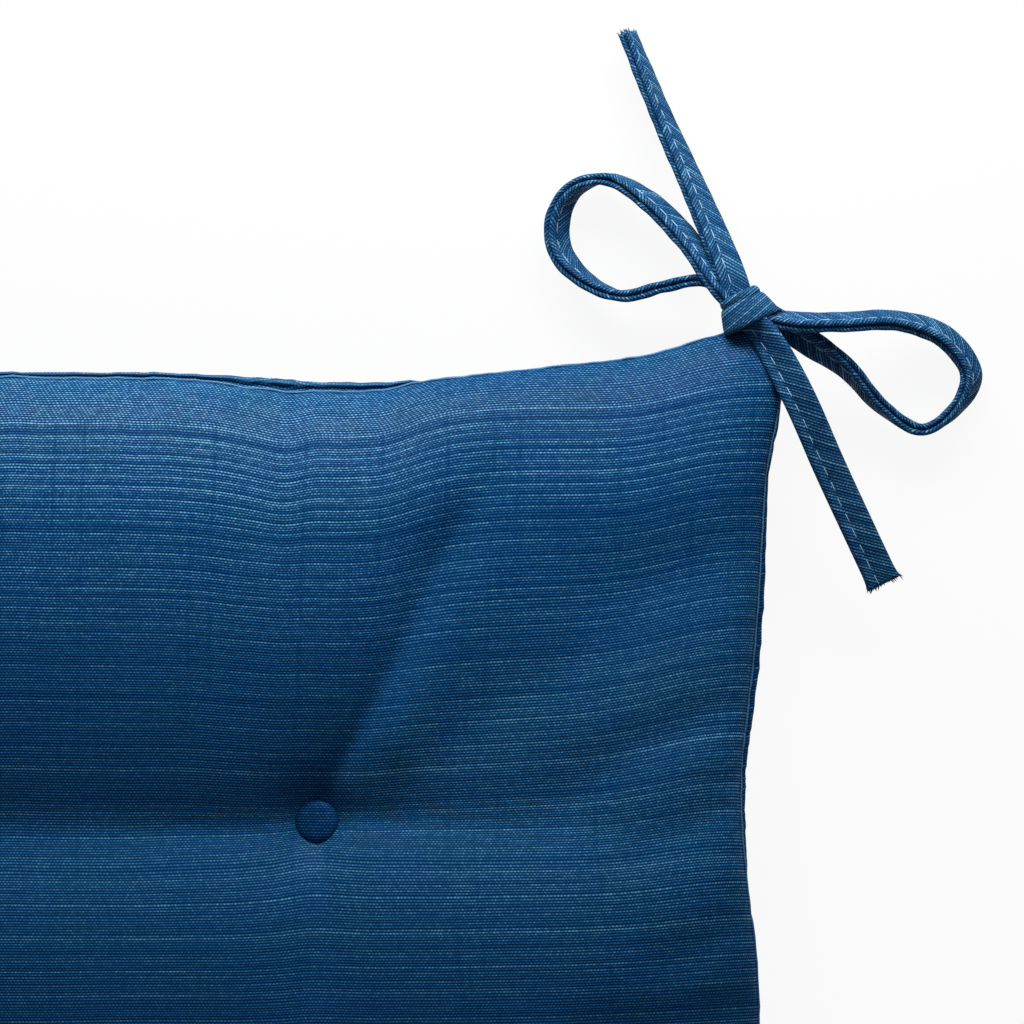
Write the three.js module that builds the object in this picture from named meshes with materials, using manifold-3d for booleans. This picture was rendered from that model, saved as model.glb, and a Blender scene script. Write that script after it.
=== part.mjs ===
// Tufted chair cushion: one filled cloth body with a knife edge, four covered buttons on each
// face and a folded cloth tie, tied in a bow, at each back corner.
//
// Millimetres. +X runs along the back edge, +Y points to the back edge with the ties, +Z is up.
// The origin is on the surface the cushion lies on, under its middle.

import * as THREE from 'three';
import { mergeVertices } from 'three/addons/utils/BufferGeometryUtils.js';
import Module from 'manifold-3d';

const wasm = await Module();
wasm.setup();

// ---- Driving dimensions -------------------------------------------------------------------

const TIP = 249;              // from the middle to each corner's tip, along X and along Y
const BUTTON_X = 110;         // from the middle to each column of buttons
const BUTTON_Y = 103;         // from the middle to each row of buttons
const SEAM_HEIGHT = 32;       // height of the seam halfway along an edge
const SIDE_LIFT = 8;          // how much higher it is where the buttons pull at a side edge
const TIP_HEIGHT = 18;        // height of the seam at a corner's tip
const CROWN = 30;             // rise of the top panel above the seam
const BELLY = 42;             // fall of the bottom panel below the seam, before it is pressed flat
const BUTTON_GAP = 0.7;       // from a tuft's flat bottom to its button

const LIP_THICKNESS = 2.4;    // the two seam allowances pressed together
const LIP = 1.2;              // how far a plain seam stands out
const CLOSING_LIP = 3;        // how far the folded band of the closing stands out
const CLOSING_HALF = 142;     // half of the closing's length, along the back edge

const BUTTON_RADIUS = 6.6;
const BUTTON_HEIGHT = 5.2;    // from the flat back to the top of the dome
const RIM_HEIGHT = 1.6;       // from the flat back to where the dome starts
const RIM_TURN = 0.8;         // how far the back is narrower than the rim
const SEAT_RADIUS = 13;       // flat bottom of a tuft, under its button
const SEAT_EASE = 8;          // how quickly the flat bottom gives way to the tuft's slope

const STRAP_WIDTH = 10;
const STRAP_THICKNESS = 3.8;
const STRAP_ROUND = 1.1;      // bevel along its edges
const STRAP_STEP = 6.5;       // along the strap, between two sections

// How far an edge is drawn in between its corners, and how much more the nearest tufts pull it.
const SIDE_EDGE = { drawn: 7.8, pulled: 4.9, pulledAt: 0.45 };
const CROSS_EDGE = { drawn: 12.5, pulled: 3.5, pulledAt: 0.5 };
const TIP_ROUNDING = 2.2;     // how far a corner's own tip is rounded off
const PULL_WIDTH = 0.15;      // of half an edge, as the places along it are
const EDGE_POWER = 5;         // the edges bow in early, near their corners
const DROP_POWER = 4;         // the seam drops to a tip over the last part of an edge

// How full the filling is across a panel: a higher power brings it further out to the edges, and
// rounding is how round it is there; 0.5 would be upright at the seam.
const TOP_ACROSS = { power: 8, rounding: 0.6 };
const TOP_ALONG = { power: 4, rounding: 0.7 };
const UNDER = { power: 3, rounding: 0.46 };

// Troughs in the cloth of the back right quarter, from one end to the other.
const FOLDS = [
  { name: 'crease towards the corner', from: [114, 112], to: [158, 202], width: 12, depth: 5.5 },
  { name: 'pull on the side seam', from: [190, 114], to: [232, 136], width: 11, depth: 3 },
  { name: 'pull below the row', from: [212, 62], to: [236, 73], width: 10, depth: 2.6 },
  { name: 'dip at the end of the closing', from: [135, 214], to: [142, 232], width: 9, depth: 3 },
];

// The quarters differ a little, as hand-filled ones do.
const QUARTERS = [
  { name: 'back_right', x: 1, y: 1, pull: 1 },
  { name: 'back_left', x: -1, y: 1, pull: 0.85 },
  { name: 'front_left', x: -1, y: -1, pull: 0.95 },
  { name: 'front_right', x: 1, y: -1, pull: 0.75 },
];

// ---- Materials ----------------------------------------------------------------------------

const cloth = new THREE.MeshStandardMaterial({ color: '#1f4f80', roughness: 0.85, metalness: 0 });
const coveredButton = new THREE.MeshStandardMaterial({ color: '#1b4672', roughness: 0.85, metalness: 0 });
const strapCloth = new THREE.MeshStandardMaterial({ color: '#1c4b78', roughness: 0.85, metalness: 0 });

// ---- Small helpers ------------------------------------------------------------------------

function bell(distance, width) {
  return Math.exp(-((distance / width) ** 2));
}

function smoothstep(value, start, end) {
  return THREE.MathUtils.smoothstep(value, start, end);
}

function distanceToSegment(x, y, [ax, ay], [bx, by]) {
  const length2 = (bx - ax) ** 2 + (by - ay) ** 2;
  const share = THREE.MathUtils.clamp(((x - ax) * (bx - ax) + (y - ay) * (by - ay)) / length2, 0, 1);
  return Math.hypot(x - ax - share * (bx - ax), y - ay - share * (by - ay));
}

function closedGeometry(points, triangles) {
  const geometry = new THREE.BufferGeometry();
  geometry.setAttribute('position', new THREE.Float32BufferAttribute(points.flat(), 3));
  geometry.setIndex(triangles.flat());
  return geometry;
}

// ---- The filled body ----------------------------------------------------------------------

// Both panels are given over u and v, which run from -1 to 1 across the cushion.

function reach(edge, along) {
  const drawn = edge.drawn * (1 - Math.abs(along) ** EDGE_POWER);
  const pulled = edge.pulled * bell(Math.abs(along) - edge.pulledAt, PULL_WIDTH);
  const rounded = TIP_ROUNDING * Math.abs(along) ** 40;
  return TIP - drawn - pulled - rounded;
}

function place(u, v) {
  return [u * reach(SIDE_EDGE, v), v * reach(CROSS_EDGE, u)];
}

// The seam drops to the corners' tips and is lifted where the buttons pull at the side edges.
function seamHeight(u, v) {
  const lifted = SIDE_LIFT * Math.abs(u) ** 8 * bell(Math.abs(v) - 0.42, 0.25);
  return SEAM_HEIGHT + lifted - (SEAM_HEIGHT - TIP_HEIGHT) * Math.abs(u * v) ** DROP_POWER;
}

function fullness(u, { power, rounding }) {
  return (1 - Math.abs(u) ** power) ** rounding;
}

// Takes a point on a tuft's flat bottom to the button's centre, and eases back to no change past it.
function settle(u, v) {
  const [x, y] = place(u, v);
  const dx = x - Math.sign(x) * BUTTON_X;
  const dy = y - Math.sign(y) * BUTTON_Y;
  const away = Math.max(Math.hypot(dx, dy), 1e-6);
  const moved = away > SEAT_RADIUS ? SEAT_RADIUS * Math.exp((SEAT_RADIUS - away) / SEAT_EASE) : away;
  const share = moved / away;
  return {
    u: u - (share * dx) / reach(SIDE_EDGE, v),
    v: v - (share * dy) / reach(CROSS_EDGE, u),
    x: x - share * dx,
    y: y - share * dy,
  };
}

// How deep a button pulls the top panel in, close round it, and how deep the underside one does.
function topTuft(away) {
  return 4.5 * Math.exp(-Math.max(away - 6, 0) / 8);
}

function underTuft(away) {
  return 8 * bell(away, 60) + 14 * Math.exp(-away / 14);
}

// The hollow along a row of buttons, steeper on the side towards the cushion's middle.
function rowValley(x, y) {
  const inside = smoothstep(BUTTON_X - x, 5, 20);
  const across = y - BUTTON_Y - 1.5 + 3 * inside;
  const soft = 2.5 + 4 * smoothstep(Math.abs(x - BUTTON_X), 10, 90);
  const away = Math.hypot(across, soft) - soft;
  const right = smoothstep(x - BUTTON_X, 15, 60);
  const column = 1 + 0.8 * bell(x - BUTTON_X, 16);
  const wide = (9 + 2.5 * right) * Math.exp(-away / (40 + 70 * right));
  const back = wide + 2.5 * (1 - right) * Math.exp(-away / 14);
  const front = 8 * Math.exp(-away / (17 * column)) + 3.5 * Math.exp(-away / (44 * column));
  const outer = bell(x - BUTTON_X, 160);
  const inner = 0.75 + 0.25 * bell(x - BUTTON_X, 60);
  const within = 1 / (1 + Math.exp(-(x + 5) / 12));
  return (across > 0 ? back : front) * (x > BUTTON_X ? outer : inner) * within;
}

// All that pulls the top panel down from its crown.
function topDent(x, y) {
  let dent = 4 * bell(y, 60);
  for (const quarter of QUARTERS) {
    const ownX = x * quarter.x;
    const ownY = y * quarter.y;
    dent += topTuft(Math.hypot(ownX - BUTTON_X, ownY - BUTTON_Y));
    dent += quarter.pull ** 0.3 * rowValley(ownX, ownY);
    for (const fold of FOLDS) {
      const away = distanceToSegment(ownX, ownY, fold.from, fold.to);
      dent += quarter.pull * fold.depth * bell(away, fold.width);
    }
  }
  return dent;
}

function underDent(x, y) {
  let dent = 0;
  for (const quarter of QUARTERS) {
    dent += underTuft(Math.hypot(x - quarter.x * BUTTON_X, y - quarter.y * BUTTON_Y));
  }
  return dent;
}

function topHeight(uEdge, vEdge) {
  const { u, v, x, y } = settle(uEdge, vEdge);
  const full = fullness(u, TOP_ACROSS) * fullness(v, TOP_ALONG);
  return seamHeight(u, v) + LIP_THICKNESS / 2 + full * (CROWN - topDent(x, y));
}

function bottomHeight(uEdge, vEdge) {
  const { u, v, x, y } = settle(uEdge, vEdge);
  const full = fullness(u, UNDER) * fullness(v, UNDER);
  return Math.max(0, seamHeight(u, v) - LIP_THICKNESS / 2 - full * (BELLY - underDent(x, y)));
}

// Grid lines from -1 to 1, closer together at the buttons and along the edges.
function gridLines(count, buttonAt) {
  const samples = 4000;
  const atButton = { extra: 2.2, width: 0.09 };
  const atEdge = { extra: 2.6, width: 0.1 };
  const running = [0];
  for (let i = 1; i <= samples; i++) {
    const across = Math.abs((2 * (i - 0.5)) / samples - 1);
    const closerAtButton = atButton.extra * bell(across - buttonAt, atButton.width);
    const closerAtEdge = atEdge.extra * bell(1 - across, atEdge.width);
    running.push(running[i - 1] + 1 + closerAtButton + closerAtEdge);
  }
  const lines = [-1];
  for (let line = 1; line < count - 1; line++) {
    const wanted = (running[samples] * line) / (count - 1);
    lines.push((2 * running.findIndex((sum) => sum >= wanted)) / samples - 1);
  }
  lines.push(1);
  return lines;
}

// The seam allowances stand out past the edge, further along the closing.
function lipReach(x, y) {
  const onClosing = y > 0 && Math.abs(x) < CLOSING_HALF && y > Math.abs(x);
  return onClosing ? CLOSING_LIP : LIP;
}

function cushionGeometry() {
  const lineCount = 33;
  const us = gridLines(lineCount, BUTTON_X / TIP);
  const vs = gridLines(lineCount, BUTTON_Y / TIP);
  const points = [];
  const triangles = [];
  const last = lineCount - 1;
  for (const height of [topHeight, bottomHeight]) {
    for (const v of vs) {
      for (const u of us) {
        points.push([...place(u, v), height(u, v)]);
      }
    }
  }
  const top = (i, j) => j * lineCount + i;
  const bottom = (i, j) => lineCount * lineCount + top(i, j);
  for (let j = 0; j < last; j++) {
    for (let i = 0; i < last; i++) {
      triangles.push([top(i, j), top(i + 1, j), top(i + 1, j + 1)]);
      triangles.push([top(i, j), top(i + 1, j + 1), top(i, j + 1)]);
      triangles.push([bottom(i, j), bottom(i + 1, j + 1), bottom(i + 1, j)]);
      triangles.push([bottom(i, j), bottom(i, j + 1), bottom(i + 1, j + 1)]);
    }
  }
  addLip(points, triangles, top, bottom, last);
  return closedGeometry(points, triangles);
}

// Walks round the edge of both panels and joins them by a thin lip.
function addLip(points, triangles, top, bottom, last) {
  const around = [];
  for (let i = 0; i < last; i++) around.push([i, 0]);
  for (let j = 0; j < last; j++) around.push([last, j]);
  for (let i = last; i > 0; i--) around.push([i, last]);
  for (let j = last; j > 0; j--) around.push([0, j]);
  const lipStart = points.length;
  for (const [i, j] of around) {
    const [x, y] = points[top(i, j)];
    const out = lipReach(x, y);
    const outX = i === 0 ? -out : i === last ? out : 0;
    const outY = j === 0 ? -out : j === last ? out : 0;
    for (const panel of [top, bottom]) {
      const [px, py, pz] = points[panel(i, j)];
      points.push([px + outX, py + outY, pz]);
    }
  }
  around.forEach(([i, j], here) => {
    const next = (here + 1) % around.length;
    const [ni, nj] = around[next];
    const upperOut = lipStart + 2 * here;
    const lowerOut = upperOut + 1;
    const nextUpperOut = lipStart + 2 * next;
    const nextLowerOut = nextUpperOut + 1;
    triangles.push([top(i, j), upperOut, nextUpperOut], [top(i, j), nextUpperOut, top(ni, nj)]);
    triangles.push([upperOut, lowerOut, nextLowerOut], [upperOut, nextLowerOut, nextUpperOut]);
    triangles.push([lowerOut, bottom(i, j), bottom(ni, nj)], [lowerOut, bottom(ni, nj), nextLowerOut]);
  });
}

// ---- Covered buttons ----------------------------------------------------------------------

// A domed shell with a rolled rim and a flat back. It stands on z = 0 with its dome up.
function buttonGeometry() {
  const domeRows = 3;
  const sides = 12;
  const profile = [new THREE.Vector2(0, 0), new THREE.Vector2(BUTTON_RADIUS - RIM_TURN, 0)];
  profile.push(new THREE.Vector2(BUTTON_RADIUS, RIM_HEIGHT));
  for (let row = 1; row <= domeRows; row++) {
    const turn = (row / domeRows) * (Math.PI / 2);
    const radius = row === domeRows ? 0 : BUTTON_RADIUS * Math.cos(turn);
    profile.push(new THREE.Vector2(radius, RIM_HEIGHT + (BUTTON_HEIGHT - RIM_HEIGHT) * Math.sin(turn)));
  }
  const geometry = new THREE.LatheGeometry(profile, sides);
  geometry.rotateX(Math.PI / 2);
  geometry.deleteAttribute('normal');
  geometry.deleteAttribute('uv');
  return mergeVertices(geometry, 1e-3);
}

// ---- Ties ---------------------------------------------------------------------------------

// Stretches of the right tie. lean is the strap's turn about its own length, in degrees:
// 0 is flat, face up, and 90 stands on its edge.
const TIE_ROUTES = {
  backTail: [
    { x: 238, y: 254, z: 22.5, lean: 24 },
    { x: 234, y: 267.5, z: 21.5, lean: 30 },
    { x: 225.5, y: 289, z: 14, lean: 46 },
    { x: 214, y: 315.5, z: 7.5, lean: 60 },
    { x: 203.5, y: 341, z: 5.4, lean: 70 },
  ],
  sideTail: [
    { x: 238, y: 256, z: 24, lean: 58 },
    { x: 245, y: 247.5, z: 26, lean: 38 },
    { x: 254, y: 231, z: 27, lean: 12 },
    { x: 264, y: 210, z: 22.5, lean: 0 },
    { x: 273.5, y: 191, z: 18, lean: 0 },
    { x: 282, y: 174, z: 13.5, lean: 0 },
  ],
  backLoop: [
    { x: 237, y: 256, z: 23, lean: 66 },
    { x: 229.5, y: 265.5, z: 22, lean: 58 },
    { x: 222, y: 277, z: 18, lean: 54 },
    { x: 209, y: 290.5, z: 11.5, lean: 62 },
    { x: 197.5, y: 296.5, z: 8, lean: 84 },
    { x: 187.5, y: 293.5, z: 6.6, lean: 108 },
    { x: 182.5, y: 285, z: 6, lean: 126 },
    { x: 183, y: 275, z: 6.2, lean: 128 },
    { x: 190.5, y: 266, z: 8, lean: 110 },
    { x: 201.5, y: 261, z: 11, lean: 94 },
    { x: 214, y: 263.5, z: 14.5, lean: 91 },
    { x: 226, y: 265, z: 18, lean: 90 },
    { x: 237.5, y: 258, z: 21, lean: 88 },
  ],
  sideLoop: [
    { x: 240, y: 255.2, z: 23, lean: 106 },
    { x: 253.5, y: 253, z: 22.5, lean: 114 },
    { x: 267.5, y: 253, z: 18.5, lean: 114 },
    { x: 285.5, y: 253.5, z: 11, lean: 116 },
    { x: 300, y: 248.5, z: 8, lean: 124 },
    { x: 308, y: 237, z: 6.2, lean: 122 },
    { x: 303, y: 226.5, z: 6, lean: 102 },
    { x: 292.5, y: 220.5, z: 6.4, lean: 88 },
    { x: 280.5, y: 227, z: 8, lean: 99 },
    { x: 269.5, y: 238.5, z: 12, lean: 112 },
    { x: 259.5, y: 245.5, z: 15, lean: 130 },
    { x: 245.5, y: 254.5, z: 19, lean: 126 },
  ],
};

// Closer than this, two corners of a joined solid count as one.
const SLIVER = 0.06;

// The knot's lump: its middle, its half sizes and its turn about +Z, in degrees.
const KNOT = { x: 239, y: 255.6, z: 22, along: 7.8, across: 5.4, high: 6.4, turn: 20 };

// The strap's middle goes into the corner of the seam.
const ROOT = [
  { x: 240, y: 256, z: 22, lean: 0 },
  { x: 241.4, y: 250, z: 20.4, lean: 0 },
];

function strapSection() {
  const halfWidth = STRAP_WIDTH / 2;
  const halfThickness = STRAP_THICKNESS / 2;
  const flatWidth = halfWidth - STRAP_ROUND;
  const flatThickness = halfThickness - STRAP_ROUND;
  return [
    [halfWidth, -flatThickness],
    [halfWidth, flatThickness],
    [flatWidth, halfThickness],
    [-flatWidth, halfThickness],
    [-halfWidth, flatThickness],
    [-halfWidth, -flatThickness],
    [-flatWidth, -halfThickness],
    [flatWidth, -halfThickness],
  ];
}

// Sweeps the strap's section along a route.
function strapGeometry(route, stepLength) {
  const knots = route.map((row) => new THREE.Vector3(row.x, row.y, row.z));
  const path = new THREE.CatmullRomCurve3(knots, false, 'centripetal');
  const steps = Math.max(2, Math.round(path.getLength() / stepLength));
  const section = strapSection();
  const up = new THREE.Vector3(0, 0, 1);
  const points = [];
  const triangles = [];
  for (let step = 0; step <= steps; step++) {
    const t = path.getUtoTmapping(step / steps);
    const row = t * (route.length - 1);
    const before = Math.min(Math.floor(row), route.length - 2);
    const lean = THREE.MathUtils.lerp(route[before].lean, route[before + 1].lean, row - before);
    const turn = THREE.MathUtils.degToRad(lean);
    const centre = path.getPoint(t);
    const tangent = path.getTangent(t);
    const level = new THREE.Vector3().crossVectors(up, tangent).normalize();
    const raised = new THREE.Vector3().crossVectors(tangent, level);
    const broad = level.clone().multiplyScalar(Math.cos(turn)).addScaledVector(raised, Math.sin(turn));
    const thin = new THREE.Vector3().crossVectors(tangent, broad);
    for (const [w, n] of section) {
      points.push(centre.clone().addScaledVector(broad, w).addScaledVector(thin, n).toArray());
    }
  }
  const sides = section.length;
  for (let step = 0; step < steps; step++) {
    for (let k = 0; k < sides; k++) {
      const here = step * sides + k;
      const beside = step * sides + ((k + 1) % sides);
      triangles.push([here, beside, beside + sides], [here, beside + sides, here + sides]);
    }
  }
  const end = steps * sides;
  for (let k = 1; k < sides - 1; k++) {
    triangles.push([0, k + 1, k], [end, end + k, end + k + 1]);
  }
  return closedGeometry(points, triangles);
}

function knotGeometry() {
  const geometry = new THREE.SphereGeometry(1, 10, 7);
  geometry.scale(KNOT.along, KNOT.across, KNOT.high);
  geometry.rotateZ(THREE.MathUtils.degToRad(KNOT.turn));
  geometry.translate(KNOT.x, KNOT.y, KNOT.z);
  geometry.deleteAttribute('normal');
  geometry.deleteAttribute('uv');
  return mergeVertices(geometry, 1e-3);
}

function solid(geometry) {
  const vertProperties = new Float32Array(geometry.attributes.position.array);
  const triVerts = new Uint32Array(geometry.index.array);
  return new wasm.Manifold(new wasm.Mesh({ numProp: 3, vertProperties, triVerts }));
}

function tieGeometry() {
  let bow = solid(knotGeometry());
  for (const route of Object.values(TIE_ROUTES)) {
    bow = bow.add(solid(strapGeometry(route, STRAP_STEP)));
  }
  bow = bow.add(solid(strapGeometry(ROOT, STRAP_STEP)));
  const { vertProperties, triVerts } = bow.getMesh();
  return withoutSlivers(vertProperties, triVerts);
}

// Joins corners that lie within SLIVER of each other, and leaves out the faces that this closes up.
function withoutSlivers(places, faces) {
  const kept = [];
  const joined = [];
  for (let i = 0; i < places.length; i += 3) {
    const corner = new THREE.Vector3(places[i], places[i + 1], places[i + 2]);
    let same = kept.findIndex((other) => other.distanceTo(corner) < SLIVER);
    if (same < 0) same = kept.push(corner) - 1;
    joined.push(same);
  }
  const triangles = [];
  for (let i = 0; i < faces.length; i += 3) {
    const [a, b, c] = [joined[faces[i]], joined[faces[i + 1]], joined[faces[i + 2]]];
    if (a !== b && b !== c && c !== a) triangles.push([a, b, c]);
  }
  return closedGeometry(kept.map((corner) => corner.toArray()), triangles);
}

// The mirror image across x = 0, with its faces turned to point out again.
function mirrored(geometry) {
  const image = geometry.clone().scale(-1, 1, 1);
  const corners = image.index.array;
  for (let i = 0; i < corners.length; i += 3) {
    [corners[i + 1], corners[i + 2]] = [corners[i + 2], corners[i + 1]];
  }
  return image;
}

// ---- Assembly -----------------------------------------------------------------------------

const group = new THREE.Group();

function addPiece(name, geometry, material) {
  const mesh = new THREE.Mesh(geometry, material);
  mesh.name = name;
  group.add(mesh);
  return mesh;
}

addPiece('cushion', cushionGeometry(), cloth);

for (const quarter of QUARTERS) {
  const x = quarter.x * BUTTON_X;
  const y = quarter.y * BUTTON_Y;
  const u = x / reach(SIDE_EDGE, y / TIP);
  const v = y / reach(CROSS_EDGE, x / TIP);
  const upper = addPiece(`button_top_${quarter.name}`, buttonGeometry(), coveredButton);
  upper.position.set(x, y, topHeight(u, v) + BUTTON_GAP);
  const under = addPiece(`button_under_${quarter.name}`, buttonGeometry(), coveredButton);
  under.rotation.x = Math.PI;
  under.position.set(x, y, bottomHeight(u, v) - BUTTON_GAP);
}

const rightTie = tieGeometry();
addPiece('tie_right', rightTie, strapCloth);
addPiece('tie_left', mirrored(rightTie), strapCloth);

export default group;
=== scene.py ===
"""A tufted outdoor chair cushion with two bow ties, in slubbed blue cloth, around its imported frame."""

import math

import bmesh
import bpy
import numpy as np
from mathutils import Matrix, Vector


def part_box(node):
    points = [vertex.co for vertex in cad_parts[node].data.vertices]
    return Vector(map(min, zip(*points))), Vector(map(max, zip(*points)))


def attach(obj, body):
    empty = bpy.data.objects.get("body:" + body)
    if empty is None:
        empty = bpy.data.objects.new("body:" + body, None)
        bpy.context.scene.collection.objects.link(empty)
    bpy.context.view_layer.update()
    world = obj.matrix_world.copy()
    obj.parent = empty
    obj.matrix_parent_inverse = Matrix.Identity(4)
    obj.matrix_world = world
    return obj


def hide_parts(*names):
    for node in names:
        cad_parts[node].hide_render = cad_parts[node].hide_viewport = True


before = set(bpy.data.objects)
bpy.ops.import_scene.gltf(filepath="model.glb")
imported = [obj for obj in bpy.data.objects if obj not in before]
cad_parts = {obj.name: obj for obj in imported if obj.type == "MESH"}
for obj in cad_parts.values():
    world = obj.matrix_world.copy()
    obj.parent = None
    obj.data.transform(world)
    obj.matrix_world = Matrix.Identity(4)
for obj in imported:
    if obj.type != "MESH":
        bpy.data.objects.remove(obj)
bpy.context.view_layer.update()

MM = 0.001

# ---- Sizes, in millimetres ------------------------------------------------------------------

TIP = 249  # from the middle to a corner of the seam, along each side
BUTTON_X = 110
BUTTON_Y = 103
BUTTON_RIM = 6
SEAM_HEIGHT = 32
SIDE_LIFT = 8  # how much higher the side seams stand where the buttons pull at them
TIP_HEIGHT = 18
CROWN = 30  # of the top panel over its edge
BELLY = 42  # how far the under panel would hang below its edge, were there no surface
EDGE_UP = 1.2  # the top panel's edge stands this much above the seam
EDGE_DOWN = 4  # and the under panel's this much below it
HALF_CLOTH = 255  # half of a panel, measured along the cloth
UNDER_CLOTH = [4 * HALF_CLOTH, 0]  # keeps the under panel's cloth apart from the top panel's
CLOSING_HALF = 142
SEAT_RADIUS = 3.4  # round a button's middle, the cloth lies against the button's back
SEAT_FADE = 1.5
SEAT_GAP = 0.3
# Each edge of the seam is drawn in between its tips, and pulled in a little more at two places.
SIDE_EDGE = {"drawn": 7.8, "pulled": 4.9, "pulled_at": 0.45}
CROSS_EDGE = {"drawn": 12.5, "pulled": 3.5, "pulled_at": 0.5}
PULL_WIDTH = 0.15  # of each pull along its edge, where the edge's half is 1
TIP_ROUNDING = 2.2

TOP_LINES = 261  # grid lines of the top panel, each way; every second one goes on underneath

STRAP_STEP = 1
FINE_STEPS = 40  # of a path between two of its knots, before it is evened out

# Troughs of the back right quarter. Each runs through its points (x, y from the middle), and its
# width and depth go from the first value to the second. A negative depth is a ridge.
FOLDS = [
    {"name": "crease",
     "through": [(112, 112), (124, 132), (137, 158), (146.5, 180), (160, 206), (171, 222)],
     "width": (5, 8.5), "depth": (3.4, 8.4), "crisp": 1.5, "fade": 0.6},
    {"name": "crease's slope", "through": [(118, 132), (130, 158), (140, 180), (151, 206)],
     "width": (12, 14), "depth": (1, 2.6), "fade": 0.6},
    {"name": "ridge by the crease", "through": [(134, 128), (148, 158), (166, 193)],
     "width": (8, 12), "depth": (-1.4, -1)},
    {"name": "soft fold", "through": [(146, 122), (158, 134), (172, 143), (198, 157)],
     "width": (8, 12), "depth": (0.5, 1.8)},
    {"name": "first side pull", "through": [(185, 112), (206, 125), (224, 133), (240, 139)],
     "width": (8, 8), "depth": (1, 3.2)},
    {"name": "second side pull", "through": [(206, 93), (221, 101), (239, 113)],
     "width": (6, 7), "depth": (0.8, 2.4)},
    {"name": "third side pull", "through": [(214, 62), (225, 66), (240, 74)],
     "width": (7, 8), "depth": (1.2, 3.4)},
    {"name": "fourth side pull", "through": [(192, 40), (240, 45)], "width": (9, 10), "depth": (1.5, 3)},
    {"name": "corner pull", "through": [(196, 174), (220, 178), (241, 185)],
     "width": (14, 13), "depth": (2.5, 5)},
    {"name": "gather in the back edge", "through": [(95, 234), (94, 214), (96, 190)],
     "width": (4, 6), "depth": (3.2, 0.6)},
    {"name": "second gather", "through": [(115, 234), (116, 217)], "width": (4, 5), "depth": (1.6, 0.3)},
    {"name": "dip at the closing's end", "through": [(142, 233), (136, 217), (129, 205)],
     "width": (5, 9), "depth": (3.5, 0.8)},
    {"name": "third gather", "through": [(60, 236), (60, 220), (59, 205)],
     "width": (6, 8), "depth": (1.2, 0.3)},
    {"name": "fourth gather", "through": [(33, 236), (31, 217)], "width": (6, 8), "depth": (1, 0.2)},
    {"name": "line below the button", "through": [(111, 94), (113, 73), (111, 55)],
     "width": (4, 7), "depth": (1.4, 0.6)},
    {"name": "short line below it", "through": [(105, 94), (99, 79)],
     "width": (5, 7), "depth": (0.8, 0.1)},
]

# The quarters differ a little, as hand-filled ones do. x and y say on which side of the middle a
# quarter lies. pull is the strength of its folds, and slide moves them along x and y.
QUARTERS = [
    {"name": "back_right", "x": 1, "y": 1, "pull": 1, "slide": (0, 0)},
    {"name": "back_left", "x": -1, "y": 1, "pull": 0.85, "slide": (3, -4)},
    {"name": "front_left", "x": -1, "y": -1, "pull": 0.95, "slide": (-4, 3)},
    {"name": "front_right", "x": 1, "y": -1, "pull": 0.75, "slide": (2, 5)},
]

# ---- Small helpers --------------------------------------------------------------------------


def bell(distance, width):
    return np.exp(-((distance / width) ** 2))


def rise(value, start, end):
    """0 before start, 1 after end, smooth between them."""
    share = np.clip((value - start) / (end - start), 0, 1)
    return share * share * (3 - 2 * share)


def wander(along, seed, lengths=(31, 17, 9.5, 5.3)):
    """A gentle, repeatable unevenness of about -1 to 1 along a line."""
    draw = np.random.default_rng(seed)
    total = np.zeros(np.shape(along))
    for length in lengths:
        phase = draw.uniform(0, 2 * math.pi)
        total = total + draw.uniform(0.5, 1) * np.sin(2 * math.pi * np.asarray(along) / length + phase)
    return total / len(lengths) ** 0.5


def smooth_rows(values, passes):
    """Evens out a grid along its last axis, with its two ends kept."""
    for _ in range(passes):
        values[..., 1:-1] = (values[..., :-2] + 2 * values[..., 1:-1] + values[..., 2:]) / 4
    return values


def unit(vectors):
    return vectors / np.linalg.norm(vectors, axis=-1, keepdims=True)


def new_object(name, data):
    """A new object at the origin, in the scene."""
    made = bpy.data.objects.new(name, data)
    bpy.context.scene.collection.objects.link(made)
    return made


def add_node(tree, kind, settings=None, inputs=None):
    """Adds a node to a tree: its settings first, then the values or links of its sockets."""
    node = tree.nodes.new(kind)
    for key, value in (settings or {}).items():
        if key == "stops":
            set_stops(node.color_ramp, value)
        else:
            setattr(node, key, value)
    for key, value in (inputs or {}).items():
        if isinstance(value, bpy.types.NodeSocket):
            tree.links.new(value, node.inputs[key])
        else:
            node.inputs[key].default_value = value
    return node


def set_stops(ramp, stops):
    while len(ramp.elements) < len(stops):
        ramp.elements.new(0.5)
    for element, (position, colour) in zip(ramp.elements, stops):
        element.position = position
        element.color = (*colour, 1)


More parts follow.
